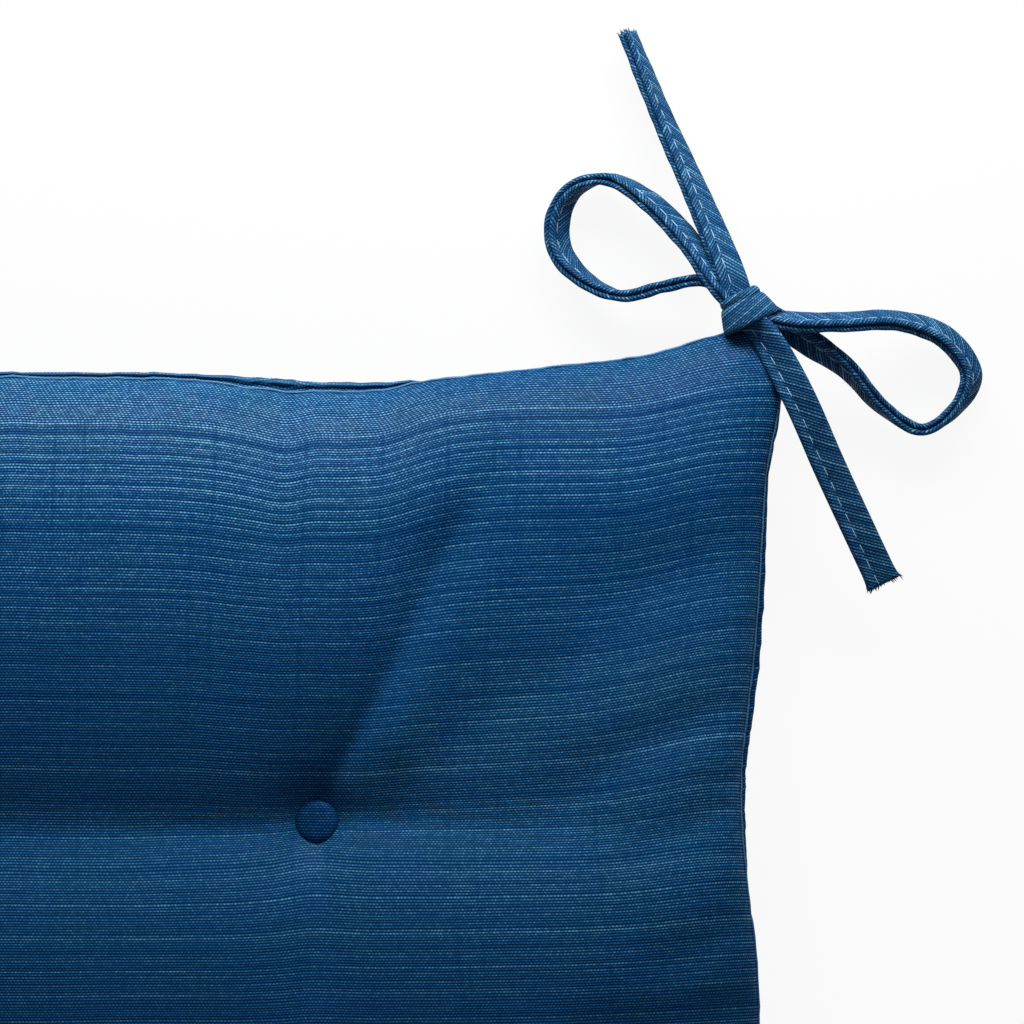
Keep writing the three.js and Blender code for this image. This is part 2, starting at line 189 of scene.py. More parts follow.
class Shell:
    """Gathers points, faces and the cloth's own coordinates for one mesh."""

    def __init__(self):
        self.points = []
        self.faces = []
        self.cloth = []
        self.edge = []
        self.count = 0

    def add_points(self, points, cloth, edge=None):
        """Adds a grid or row of points and returns their numbers in the same arrangement."""
        shape = points.shape[:-1]
        number = int(np.prod(shape))
        self.points.append(points.reshape(-1, 3))
        self.cloth.append(np.broadcast_to(cloth, shape + (2,)).reshape(-1, 2))
        edge = np.zeros(shape) if edge is None else np.broadcast_to(edge, shape)
        self.edge.append(edge.reshape(-1))
        numbers = np.arange(self.count, self.count + number).reshape(shape)
        self.count += number
        return numbers

    def add_grid(self, numbers, closed=False, turned=False):
        """Faces between the rows of a grid of numbers. closed joins its last column to its first."""
        right = np.roll(numbers, -1, axis=1) if closed else numbers[:, 1:]
        left = numbers if closed else numbers[:, :-1]
        quads = [left[:-1], right[:-1], right[1:], left[1:]]
        if turned:
            quads.reverse()
        self.faces.extend(np.stack(quads, -1).reshape(-1, 4).tolist())

    def add_cap(self, numbers, turned=False):
        ring = list(numbers)
        self.faces.append(ring[::-1] if turned else ring)

    def build(self, name, material, merge=1e-6):
        """Makes the mesh object, with a UV map of the cloth's coordinates and the edge attribute,
        which holds painted highlight (above 0) and painted shade (below 0).
        """
        mesh = bpy.data.meshes.new(name)
        points = np.concatenate(self.points) * MM
        mesh.from_pydata(points.tolist(), [], self.faces)
        corner_points = np.zeros(len(mesh.loops), int)
        mesh.loops.foreach_get("vertex_index", corner_points)
        cloth = np.concatenate(self.cloth) * MM
        layer = mesh.uv_layers.new(name="cloth")
        layer.uv.foreach_set("vector", cloth[corner_points].astype(np.float32).ravel())
        edge = mesh.attributes.new("edge", "FLOAT", "POINT")
        edge.data.foreach_set("value", np.concatenate(self.edge).astype(np.float32))
        merge_doubles(mesh, merge)
        mesh.shade_smooth()
        mesh.materials.append(material)
        return new_object(name, mesh)


def merge_doubles(mesh, distance):
    cut = bmesh.new()
    cut.from_mesh(mesh)
    bmesh.ops.remove_doubles(cut, verts=cut.verts, dist=distance)
    cut.to_mesh(mesh)
    cut.free()


# ---- Shape of the filled body ---------------------------------------------------------------


def reach(edge, along):
    """How far an edge of the seam lies from the middle, at along, which is -1 to 1 from tip to tip."""
    drawn = edge["drawn"] * (1 - np.abs(along) ** 5)
    pulled = edge["pulled"] * bell(np.abs(along) - edge["pulled_at"], PULL_WIDTH)
    rounded = TIP_ROUNDING * np.abs(along) ** 40
    return TIP - drawn - pulled - rounded


def closing_draw(x):
    """How far the closing's stitches draw the top panel's edge in, along the back edge."""
    away = np.abs(x)
    sewn = 1 - rise(away, CLOSING_HALF - 16, CLOSING_HALF + 3)
    # 1.1 mm in the middle, 3 mm a little over half of the way to the closing's ends, then 2 mm
    drawn = 1.1 + 1.9 * rise(away, 72, 92) - 1.0 * rise(away, 100, 112)
    return (drawn + 0.3 * wander(x, 8, (61, 37, 23, 15))) * sewn


def place(u, v):
    """From u and v, -1 to 1 across the cushion, to x and y. The ties draw the back corners out, and
    the side edges are filled out a little just in front of them."""
    x = u * reach(SIDE_EDGE, v)
    y = v * reach(CROSS_EDGE, u)
    inward = TIP - np.abs(x)
    drawn_out = (5.5 * np.exp(-inward / 13) + 2.1 * bell(inward - 20, 15)) * np.maximum(v, 0) ** 6
    filled_out = 2.4 * bell(TIP - y - 23, 14) * np.sign(u) * np.abs(u) ** 8
    return x + filled_out, y + drawn_out


def seam_height(u, v):
    """The seam drops to the corners' tips and is lifted where the buttons pull at the side seams."""
    lifted = SIDE_LIFT * np.abs(u) ** 8 * bell(np.abs(v) - 0.42, 0.25)
    return SEAM_HEIGHT + lifted - (SEAM_HEIGHT - TIP_HEIGHT) * np.abs(u * v) ** 4


def fullness(u, power, rounding):
    """How much of its height a panel has across the cushion: 1 in the middle, 0 at the seams."""
    return (1 - np.abs(u) ** power) ** rounding


def trough(x, y, fold):
    """How deep a fold is at x and y. A fade ends it before its last point, and crisp gives it a
    narrow bottom of that radius instead of a round one."""
    through = np.array(fold["through"], float)
    lengths = np.hypot(*(through[1:] - through[:-1]).T)
    nearest = np.full(x.shape, 1e9)
    along = np.zeros(x.shape)
    run = 0
    for start, end, length in zip(through[:-1], through[1:], lengths):
        way = (end - start) / length
        step = np.clip((x - start[0]) * way[0] + (y - start[1]) * way[1], 0, length)
        away = np.hypot(x - start[0] - step * way[0], y - start[1] - step * way[1])
        closer = away < nearest
        nearest = np.where(closer, away, nearest)
        along = np.where(closer, (run + step) / lengths.sum(), along)
        run += length
    width = fold["width"][0] + (fold["width"][1] - fold["width"][0]) * along
    depth = fold["depth"][0] + (fold["depth"][1] - fold["depth"][0]) * along
    if "fade" in fold:
        depth = depth * (1 - rise(along, fold["fade"], 1))
    if "crisp" in fold:
        return depth * np.exp(-(np.hypot(nearest, fold["crisp"]) - fold["crisp"]) / width)
    return depth * bell(nearest, width)


def own_side(value):
    """1 on the buttons' side of the cushion's middle, and 0 past it."""
    return 1 / (1 + np.exp(-(value + 5) / 12))


def row_valley(x, y):
    """The hollow that runs along a row of buttons: wide towards the back edge, steep towards the
    middle, and fading out past the middle of the cushion."""
    from_column = x - BUTTON_X
    # the hollow's bottom line, which jogs a little at the button, and how rounded it is
    inside = rise(-from_column, 5, 20)
    across = y - BUTTON_Y - 1.5 + 3 * inside
    softness = 2.5 + 4 * rise(np.abs(from_column), 10, 90)
    away = np.sqrt(across**2 + softness**2) - softness

    # towards the back edge, a wide slope that is wider still beyond the button, and a narrow one
    beyond = rise(from_column, 15, 60)
    wide = (9 + 2.5 * beyond) * np.exp(-away / (40 + 70 * beyond))
    narrow = 2.5 * (1 - beyond) * np.exp(-away / 14)
    # towards the middle, a steep slope and a gentle one, both wider next to the button
    spread = 1 + 0.8 * bell(from_column, 16)
    steep = 8 * np.exp(-away / (17 * spread))
    gentle = 3.5 * np.exp(-away / (44 * spread))
    depth = np.where(across > 0, wide + narrow, steep + gentle)

    # the whole hollow gets shallower along the row, away from the button
    outer = bell(from_column, 160)
    inner = 0.75 + 0.25 * bell(from_column, 60)
    return depth * np.where(from_column > 0, outer, inner) * own_side(x)


def column_valley(x, y):
    """The shallow hollow that runs along a column of buttons."""
    below = 0.5 + 0.5 * bell(y - BUTTON_Y, 60)
    above = bell(y - BUTTON_Y, 40)
    return 0.8 * bell(x - BUTTON_X, 20) * np.where(y < BUTTON_Y, below, above) * own_side(y)


def from_button(x, y):
    """How far outside the back right button's rim a place lies."""
    return np.maximum(np.hypot(x - BUTTON_X, y - BUTTON_Y) - BUTTON_RIM, 0)


def tuft(x, y):
    """The steep pit round a top button."""
    return 4.5 * np.exp(-from_button(x, y) / 8)


def under_tuft(x, y):
    """How far an underside button lifts the cloth: a broad dome and a steeper one."""
    away = from_button(x, y)
    return 8 * bell(away, 60) + 14 * np.exp(-away / 14)


def hollows(x, y):
    """All that pulls the top panel down from its crown: a broad dip between the rows of buttons,
    and each quarter's tuft, valleys and folds."""
    total = 4 * bell(y, 60)
    for quarter in QUARTERS:
        own_x = x * quarter["x"]
        own_y = y * quarter["y"]
        total = total + tuft(own_x, own_y)
        total = total + quarter["pull"] ** 0.3 * (row_valley(own_x, own_y) + column_valley(own_x, own_y))
        slide_x, slide_y = quarter["slide"]
        for fold in FOLDS:
            total = total + quarter["pull"] * trough(own_x - slide_x, own_y - slide_y, fold)
    return total


def settle(x, y, z, layer):
    """Brings the cloth to each button's back, so that the button sits on it."""
    for quarter in QUARTERS:
        low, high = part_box(f"button_{layer}_{quarter['name']}")
        seat = low.z / MM - SEAT_GAP if layer == "top" else high.z / MM + SEAT_GAP
        away = np.hypot(x - quarter["x"] * BUTTON_X, y - quarter["y"] * BUTTON_Y)
        z = z + bell(np.maximum(away - SEAT_RADIUS, 0), SEAT_FADE) * (seat - z)
    return z


def panel_grid(every):
    """u and v, from -1 to 1, of a panel's grid. Its lines are closer together along the edges and at
    the buttons, and every says which of them it has."""
    fine = np.linspace(-1, 1, 8001)
    close = 1 + 2.2 * bell(1 - np.abs(fine), 0.09) + 1.2 * bell(np.abs(fine) - 0.45, 0.1)
    run = np.concatenate([[0], np.cumsum((close[1:] + close[:-1]) / 2)])
    lines = np.interp(np.linspace(0, run[-1], TOP_LINES), run, fine)[::every]
    return np.meshgrid(lines, lines)


def along_cloth(points):
    """How far each grid line's point lies from the middle, measured along the cloth, on the grid's
    first axis. The seam is HALF_CLOTH away everywhere."""
    steps = np.linalg.norm(np.diff(points, axis=0), axis=-1)
    run = np.concatenate([np.zeros((1, points.shape[1])), np.cumsum(steps, axis=0)])
    middle = (len(points) - 1) // 2
    run = run - run[middle]
    scaled = np.where(run < 0, run / -run[0], run / run[-1]) * HALF_CLOTH
    return smooth_rows(scaled, 6)


def cloth_places(points):
    """The cloth's own coordinates, across and up, at each point of a panel's grid."""
    up_cloth = along_cloth(points)
    across_cloth = along_cloth(points.transpose(1, 0, 2)).T
    return np.stack([across_cloth, up_cloth], -1)


def drawn_rows(x, y):
    """How far the cloth's rows are drawn towards the back: by the buttons, at the closing's ends and
    on a slant towards the side edges, and back down in the gather beside each closing's end."""
    total = 0
    for quarter in QUARTERS:
        own_x = x * quarter["x"] - BUTTON_X
        own_y = y * quarter["y"] - BUTTON_Y
        wide = np.where(own_x < 0, 24, 60)
        near = np.exp(-(np.hypot(own_x, 7) - 7) / wide)
        below = np.exp(-np.abs(own_y) / 38) * rise(-own_y, -10, 14)
        total = total + quarter["y"] * near * 8 * below
        if quarter["y"] > 0:
            bunched = rise(own_x, 17, 44) * (1 - rise(own_x, 48, 100)) * rise(own_y, 25, 125)
            gathered = bell(own_x + 11, 8) * rise(own_y, 70, 105)
            slanted = rise(own_x, 70, 138) * bell(own_y - 45, 65)
            total = total + 3.6 * bunched - 1.7 * gathered + 4.5 * slanted
    return total


def top_panel(relief=1.0):
    """The top panel's grid of points. relief scales all that is pressed into it."""
    u, v = panel_grid(every=1)
    x, y = place(u, v)
    full = fullness(u, 8, 0.6) * fullness(v, 5, 0.7)
    z = seam_height(u, v) + EDGE_UP + full * (CROWN - relief * hollows(x, y))
    if relief == 1:
        z = settle(x, y, z, "top")
        z = z + puckers(u, v, x, y)
    y = y - closing_draw(x) * rise(v, 0.7, 1) ** 2
    # halfway along its sides the cloth swells out a little over the seam
    overhang = 0.9 * (1 - rise(np.abs(y), 55, 85)) * bell(1 - np.abs(u), 0.02)
    x = x + np.sign(u) * overhang * np.abs(u) ** 8
    return np.stack([x, y, z], -1)


def puckers(u, v, x, y):
    """Small gathers that the seam's stitches draw in the cloth beside them."""
    beside_cross = (1 - np.abs(v)) * TIP
    beside_side = (1 - np.abs(u)) * TIP
    cross = wander(x, 11, (13, 8.5, 6.1, 4.7)) * np.exp(-beside_cross / 7) * rise(beside_cross, 0, 2.5)
    side = wander(y, 12, (11, 7.9, 5.6, 4.3)) * np.exp(-beside_side / 7) * rise(beside_side, 0, 2.5)
    return 0.5 * cross + 0.5 * side


def under_panel():
    """The under panel's grid of points, flat where it lies on the surface, and how far below the
    seam's height each is."""
    u, v = panel_grid(every=2)
    x, y = place(u, v)
    full = fullness(u, 3, 0.46) * fullness(v, 3, 0.46)
    dent = sum(under_tuft(x * quarter["x"], y * quarter["y"]) for quarter in QUARTERS)
    z = np.maximum(seam_height(u, v) - EDGE_DOWN - full * (BELLY - dent), 0)
    z = settle(x, y, z, "under")
    x = x + np.sign(u) * np.abs(u) ** 16 * side_bulge(y)
    return np.stack([x, y, z], -1), seam_height(u, v) - z


def side_bulge(y):
    """How far the under panel swells out past the side seams."""
    away = np.abs(y)
    return (0.7 + 1.2 * bell(away - 150, 45)) * rise(away, 70, 105) * (1 - rise(away, 222, 243))


# The seam's section, from the top panel's edge to the under panel's: how far each ring stands out
# and up, and its painted light: a painted highlight on the ridges (above 0), partly paler thread at
# the folds, and painted shade in the grooves (below 0). The closing's rings also stand out by a share
# of its band's width.
PLAIN_SEAM = [
    (-0.25, 1.3, 0.5), (0.2, 1.22, 0.8), (0.48, 0.85, 0.9), (0.42, 0.35, 0.2), (0.05, 0.0, -0.8),
    (-0.3, -0.3, -1.0), (0.0, -0.8, -0.5), (0.3, -1.5, -0.5), (0.3, -2.6, -0.5),
]
CLOSING_SEAM = [
    (0.0, -0.2, 1.3, 0.3), (0.0, 0.25, 1.35, 1.0), (0.0, 0.55, 0.8, 0.5), (0.14, 0.4, -0.3, -0.6),
    (0.4, 0.0, -0.5, -0.8), (0.55, 0.0, 0.0, 0.1), (0.76, 0.0, 0.25, 0.55), (1.0, 0.0, -0.5, 0.2),
    (0.96, 0.0, -1.4, -0.4),
]
CLOSING_BAND = 0.9  # how far the closing's band stands out past the seam next to it
VALLEY_RING = 5  # the ring in the seam's groove, where the top panel's cloth ends
RING_CLOTH = 0.6  # cloth from one of the under panel's rings to the next
SWELLS = [0, 0, 0, 0, 0, 0.15, 0.7, 0.95, 1]  # each ring's share of the under panel's bulge
CLOTH_OVER = [0.0, 0.45, 0.9, 1.4, 2.0, 2.6]  # cloth between the top panel's edge and each ring


def ring_of(grid):
    """The points along a grid's edge, once round."""
    return np.concatenate([grid[0, :-1], grid[:-1, -1], grid[-1, :0:-1], grid[:0:-1, 0]])


def seam_rings(edge_points):
    """The rings of the seam, from the top panel's edge down to the under panel's, and how much
    painted highlight (above 0) or painted shade (below 0) each gets."""
    x, y = edge_points[:, 0], edge_points[:, 1]
    way = np.roll(edge_points, -1, axis=0) - np.roll(edge_points, 1, axis=0)
    out = unit(np.stack([way[:, 1], -way[:, 0], np.zeros(len(way))], -1))
    for _ in range(3):
        out = unit(np.roll(out, 1, axis=0) + 2 * out + np.roll(out, -1, axis=0))
    on_back = (y > np.abs(x)) * (1 - rise(np.abs(x), CLOSING_HALF - 5, CLOSING_HALF))
    band = (closing_draw(x) + CLOSING_BAND) * on_back
    run = np.concatenate([[0], np.cumsum(np.linalg.norm(np.diff(edge_points, axis=0), axis=1))])
    uneven = 1 + (0.22 - 0.17 * on_back) * wander(run, 5)
    drift = 0.18 * wander(run, 6, (43, 21, 11, 6))
    seam = edge_points - [0, 0, EDGE_UP]
    rings = []
    painted_light_shade = []
    on_side = np.abs(x) > np.abs(y)
    strip = side_bulge(y) * on_side * (1 + 0.1 * wander(run, 7, (9, 3.7, 2.1, 1.4)))
    for plain, closing, swell in zip(PLAIN_SEAM, CLOSING_SEAM, SWELLS):
        share, *closing = closing
        outward, upward, light = (
            here + (there - here) * on_back for here, there in zip(plain, closing))
        ring = seam + out * ((outward + band * share) * uneven + drift + strip * swell)[:, None]
        ring[:, 2] += upward
        rings.append(ring)
        painted_light_shade.append(light)
    return np.stack(rings), np.stack(painted_light_shade)


def make_cushion(material):
    """The two panels, sewn together at the seam's groove."""
    shell = Shell()
    top = top_panel()
    # the cloth is laid out over a flatter panel, because it stretches over the folds
    top_cloth = cloth_places(top_panel(relief=0.12))
    top_cloth[..., 1] -= drawn_rows(top[..., 0], top[..., 1])
    rings, painted_light_shade = seam_rings(ring_of(top))
    ring_cloth = ring_of(top_cloth)
    ring_way = unit(ring_of(top)[:, :2])
    numbers = shell.add_points(top, top_cloth)
    shell.add_grid(numbers)
    upper = [ring_of(numbers)]
    for ring, far, light in zip(rings, CLOTH_OVER, painted_light_shade):
        upper.append(shell.add_points(ring, ring_cloth + ring_way * far, light))
    shell.add_grid(np.stack(upper), closed=True, turned=True)

    under, below = under_panel()
    # painted shade on the under panel where it lies close to the seam's height
    under_numbers = shell.add_points(under, cloth_places(under) + UNDER_CLOTH, -0.7 * bell(below, 12))
    shell.add_grid(under_numbers, turned=True)
    under_edge = ring_cloth + UNDER_CLOTH
    lower = []
    for step, ring in enumerate(rings[VALLEY_RING:]):
        far = ring_way * (3 - step) * RING_CLOTH
        lower.append(shell.add_points(ring, under_edge + far, painted_light_shade[VALLEY_RING + step]))
    shell.add_grid(np.stack(lower), closed=True, turned=True)

    # the last ring has two points to each one of the under panel's edge
    last = lower[-1]
    under_ring = ring_of(under_numbers)
    count = len(under_ring)
    for here in range(count):
        after = (here + 1) % count
        fine = [last[2 * here], last[2 * here + 1], last[(2 * here + 2) % len(last)]]
        shell.faces.append([int(n) for n in (*fine[::-1], under_ring[here], under_ring[after])])
    return shell.build("cushion_body", material)


# ---- Buttons --------------------------------------------------------------------------------

BUTTON_SIDES = 64
BUTTON_RISE = 0.56  # the cover's height, as a share of the CAD button's
# Share of the radius, share of the height, how much the gathers show.
BUTTON_PROFILE = [
    (0.0, 1.0, 0), (0.16, 0.996, 0), (0.32, 0.985, 0), (0.48, 0.965, 0), (0.62, 0.93, 0.1),
    (0.75, 0.87, 0.3), (0.86, 0.77, 0.6), (0.94, 0.6, 1), (0.99, 0.4, 1), (1.0, 0.25, 1),
    (0.97, 0.1, 1), (0.9, 0.03, 0.8), (0.8, 0.0, 0.3), (0.0, 0.0, 0),
]
GATHER_DEPTH = 0.018  # of the radius


def make_button(quarter, layer, material):
    """A domed button in the cushion's cloth, with the cloth's gathers round its rim."""
    low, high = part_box(f"button_{layer}_{quarter['name']}")
    middle = (np.array(low) + np.array(high)) / 2 / MM
    base = np.array([middle[0], middle[1], (low.z if layer == "top" else high.z) / MM])
    outward = 1 if layer == "top" else -1
    radius = (high.x - low.x) / 2 / MM
    height = (high.z - low.z) / MM * BUTTON_RISE
    turn = np.arange(BUTTON_SIDES) / BUTTON_SIDES * 2 * math.pi
    seed = 20 + 2 * QUARTERS.index(quarter) + (layer == "under")
    draw = np.random.default_rng(seed)
    gathers = 0.5 * np.sin(13 * turn + draw.uniform(0, 6)) + 0.5 * np.sin(19 * turn + draw.uniform(0, 6))
    shell = Shell()
    rings = []
    run = 0
    before = (0, 1)
    for share, lift, gather in BUTTON_PROFILE:
        across = radius * share * (1 + GATHER_DEPTH * gather * gathers)
        run += math.hypot(radius * (share - before[0]), height * (lift - before[1]))
        before = (share, lift)
        up = np.full(BUTTON_SIDES, height * lift * outward)
        local = np.stack([across * np.cos(turn), across * np.sin(turn), up], -1)
        cloth = np.stack([run * np.cos(turn), run * np.sin(turn)], -1)
        # each cover is cut from its own place in the cloth
        cloth = cloth + [quarter["x"] * 41 + 700, quarter["y"] * 37]
        rings.append(shell.add_points(local + base, cloth))
    shell.add_grid(np.stack(rings), closed=True, turned=layer == "top")
    return shell.build(f"button_{layer}_{quarter['name']}_cover", material)


# ---- Ties -----------------------------------------------------------------------------------

# Stretches of the right tie, from the knot: x, y, z and lean. lean is the strap's turn about its own
# length, in degrees: 0 is flat, face up, and 90 stands on its edge. The left tie mirrors them.
TIE_ROUTES = {
    "back_tail": [
        (238, 254, 22.5, 24), (234, 267.5, 21.5, 30), (225.5, 289, 14, 46), (214, 315.5, 7.5, 60),
        (203.5, 341, 5.4, 70),
    ],
    "side_tail": [
        (238, 256, 24, 58), (245, 247.5, 26, 38), (254, 231, 27, 12), (263.5, 210, 22.5, 0),
        (272.5, 191, 18, 0), (280.7, 174, 13.5, 0),
    ],
    "back_loop": [
        (237, 256, 23, 66), (229.5, 265.5, 22, 58), (222, 277, 18, 54), (209, 290.5, 11.5, 62),
        (197.5, 296.5, 8, 84), (187.5, 293.5, 6.6, 108), (182.5, 285, 6, 126),
        (183, 275, 6.2, 128), (190.5, 266, 8, 110), (201.5, 261, 11, 94), (214, 263.5, 14.5, 91),
        (226, 265, 18, 90), (237.5, 258, 21, 88),
    ],
    "side_loop": [
        (240, 255.2, 23, 106), (253.5, 253, 22.5, 114), (267.5, 253, 18.5, 114),
        (285.5, 253.5, 11, 116), (300, 248.5, 8, 124), (308, 237, 6.2, 122), (303, 226.5, 6, 102),
        (292.5, 220.5, 6.4, 88), (280.5, 227, 8, 99), (269.5, 238.5, 12, 112),
        (259.5, 245.5, 15, 130), (245.5, 254.5, 19, 126),
    ],
}
OPEN_SIDE = {"back_tail": 1, "side_tail": -1, "back_loop": 1, "side_loop": 1}
FREE_ENDS = ("back_tail", "side_tail")

# Half of the folded strap's section, from its folded edge to the groove between its open edges:
# (across, half thickness).
STRAP_SECTION = [
    (-5.0, 0.0), (-4.92, 0.55), (-4.6, 1.1), (-4.0, 1.42), (-3.0, 1.55), (-1.5, 1.5), (0.0, 1.45),
    (1.0, 1.35), (1.7, 1.12), (2.3, 1.4), (3.0, 1.78), (3.8, 1.9), (4.5, 1.72), (4.92, 1.3),
    (5.0, 0.85), (4.75, 0.42), (4.2, 0.2), (3.4, 0.1),
]
STITCH_LINE = 1.7  # the topstitch's place across the strap
STITCH_PITCH = 5.1
STITCH_RISE = 1.2  # of its threads over the strap's middle
FRAY_THREADS = 64  # at each cut end
BIAS = math.radians(49)  # between the straps' rows and their length
STRAPS_APART = 60  # keeps each strap's cloth apart from the next one's

KNOT_MIDDLE = (238.4, 256.8, 23.0)
KNOT_LEAN = math.radians(26)  # of its band to the back edge
KNOT_HALF = {"wide": 7.8, "tall": 6.4}
KNOT_TAPER = {"wide": 0.34, "tall": 0.14}  # how much it widens for each millimetre along the bundle
KNOT_SIDES = 72
KNOT_CLOTH = {"radius": 7, "slant": 0.27, "closer": 1.25, "apart": 900}  # how its rows are laid out
# Place along the bundle, and how far the skin lies in from the band's outer face.
KNOT_PROFILE = [
    (-3.6, 3.4), (-4.3, 2.6), (-4.9, 1.6), (-5.1, 0.8), (-4.8, 0.25), (-4.2, 0.05), (-3.4, 0.12),
    (-2.7, 0.5), (-2.4, 0.6), (-2.0, 0.15), (-1.0, 0.0), (1.0, 0.0), (3.0, 0.05), (4.2, 0.15),
    (4.9, 0.5), (5.2, 1.1), (5.0, 1.8), (4.3, 2.7), (3.4, 3.6),
]


def smooth_path(knots, step):
    """A centripetal Catmull-Rom curve through knots, at even steps. Returns its points and how far
    along it each lies."""
    knots = np.array(knots, float)
    first = 2 * knots[0] - knots[1]
    last = 2 * knots[-1] - knots[-2]
    ends = np.concatenate([[first], knots, [last]])
    fine = []
    for i in range(len(knots) - 1):
        p0, p1, p2, p3 = ends[i : i + 4]
        t0 = 0
        t1 = t0 + np.linalg.norm((p1 - p0)[:3]) ** 0.5
        t2 = t1 + np.linalg.norm((p2 - p1)[:3]) ** 0.5
        t3 = t2 + np.linalg.norm((p3 - p2)[:3]) ** 0.5
        t = np.linspace(t1, t2, FINE_STEPS + 1)[:-1, None]
        a1 = (t1 - t) / (t1 - t0) * p0 + (t - t0) / (t1 - t0) * p1
        a2 = (t2 - t) / (t2 - t1) * p1 + (t - t1) / (t2 - t1) * p2
        a3 = (t3 - t) / (t3 - t2) * p2 + (t - t2) / (t3 - t2) * p3
        b1 = (t2 - t) / (t2 - t0) * a1 + (t - t0) / (t2 - t0) * a2
        b2 = (t3 - t) / (t3 - t1) * a2 + (t - t1) / (t3 - t1) * a3
        fine.append((t2 - t) / (t2 - t1) * b1 + (t - t1) / (t2 - t1) * b2)
    fine = np.concatenate([*fine, knots[-1:]])
    run = np.concatenate([[0], np.cumsum(np.linalg.norm(np.diff(fine[:, :3], axis=0), axis=1))])
    count = max(3, round(run[-1] / step) + 1)
    even = np.linspace(0, run[-1], count)
    return np.stack([np.interp(even, run, column) for column in fine.T], -1), even


def strap_frames(route, side):
    """Points along a strap, with its way, its broad and thin directions, and the length so far."""
    knots = [(side * x, y, z, side * lean) for x, y, z, lean in route]
    path, run = smooth_path(knots, STRAP_STEP)
    centre = path[:, :3]
    turn = np.radians(path[:, 3:])
    ways = unit(np.gradient(centre, axis=0))
    level = unit(np.cross([0, 0, 1], ways))
    raised = np.cross(ways, level)
    broad = np.cos(turn) * level + np.sin(turn) * raised
    return centre, ways, broad, np.cross(ways, broad), run


def add_strap(shell, name, side):
    """A stretch of the folded strap, pinched along its topstitch, with a cut and frayed free end."""
    centre, ways, broad, thin, run = strap_frames(TIE_ROUTES[name], side)
    open_side = OPEN_SIDE[name] * side
    half = np.array(STRAP_SECTION)
    section = np.concatenate([half, half[-2:0:-1] * [1, -1]])
    seed = 40 + list(TIE_ROUTES).index(name) + (side < 0) * 10

    plump = 1 + 0.07 * wander(run, seed, (23, 13, 7.3))
    pinch = 1 - 0.1 * np.abs(np.sin(math.pi * run / STITCH_PITCH))
    flare = 1 + 0.12 * np.exp((run - run[-1]) / 1.5) * (name in FREE_ENDS)
    across = section[:, 0] * open_side * flare[:, None]
    near_stitch = bell(section[:, 0] - STITCH_LINE, 0.9)
    thick = section[:, 1] * plump[:, None] * (1 - near_stitch * (1 - pinch[:, None]))
    rows = centre[:, None] + across[..., None] * broad[:, None] + thick[..., None] * thin[:, None]

    arc = np.concatenate([[0], np.cumsum(np.hypot(*np.diff(section, axis=0).T))])
    stitch_at = arc[list(half[:, 0]).index(STITCH_LINE)]
    from_stitch = arc[: len(half)] - stitch_at
    across_cloth = np.concatenate([from_stitch, from_stitch[-2:0:-1]])
    if name != "side_tail":
        # the rows meet in arrowheads along the stitch line
        across_cloth = np.abs(across_cloth)
    along_strap = run[:, None] + STRAPS_APART * seed
    numbers = shell.add_points(rows, np.stack(np.broadcast_arrays(across_cloth, along_strap), -1))
    turned = open_side > 0
    shell.add_grid(numbers, closed=True, turned=not turned)
    shell.add_cap(numbers[0], turned=turned)
    shell.add_cap(numbers[-1], turned=not turned)
    if name in FREE_ENDS:
        add_fray(shell, rows[-1], centre[-1], ways[-1], seed)


def add_fray(shell, section, middle, way, seed):
    """Loose thread ends round a strap's cut end, longer towards its two corners."""
    draw = np.random.default_rng(seed)
    spread = unit(section - middle)
    out = np.linalg.norm(section - middle, axis=1)
    for _ in range(FRAY_THREADS):
        pick = draw.integers(len(section))
        start = middle + (section[pick] - middle) * draw.uniform(0.25, 1) - way * 0.4
        corner = out[pick] / out.max()
        lean = spread[pick] * corner**2 * 0.55 + draw.normal(0, 0.2, 3)
        tip = start + unit(way + lean) * draw.uniform(0.7, 1.1 + 1.3 * corner**3)
        side = unit(np.cross(tip - start, draw.normal(0, 1, 3)))
        other = unit(np.cross(tip - start, side))
        rings = []
        for share, radius in ((0, 0.2), (0.6, 0.17), (1, 0.04)):
            at = start + (tip - start) * share
            ring = [at + radius * side, at + radius * (0.87 * other - 0.5 * side),
                    at - radius * (0.87 * other + 0.5 * side)]
            cloth = [draw.uniform(0, 5), STRAPS_APART * seed + share]
            rings.append(shell.add_points(np.array(ring), np.array(cloth), 0.25))
        shell.add_grid(np.stack(rings), closed=True, turned=True)
        shell.add_cap(rings[-1], turned=True)


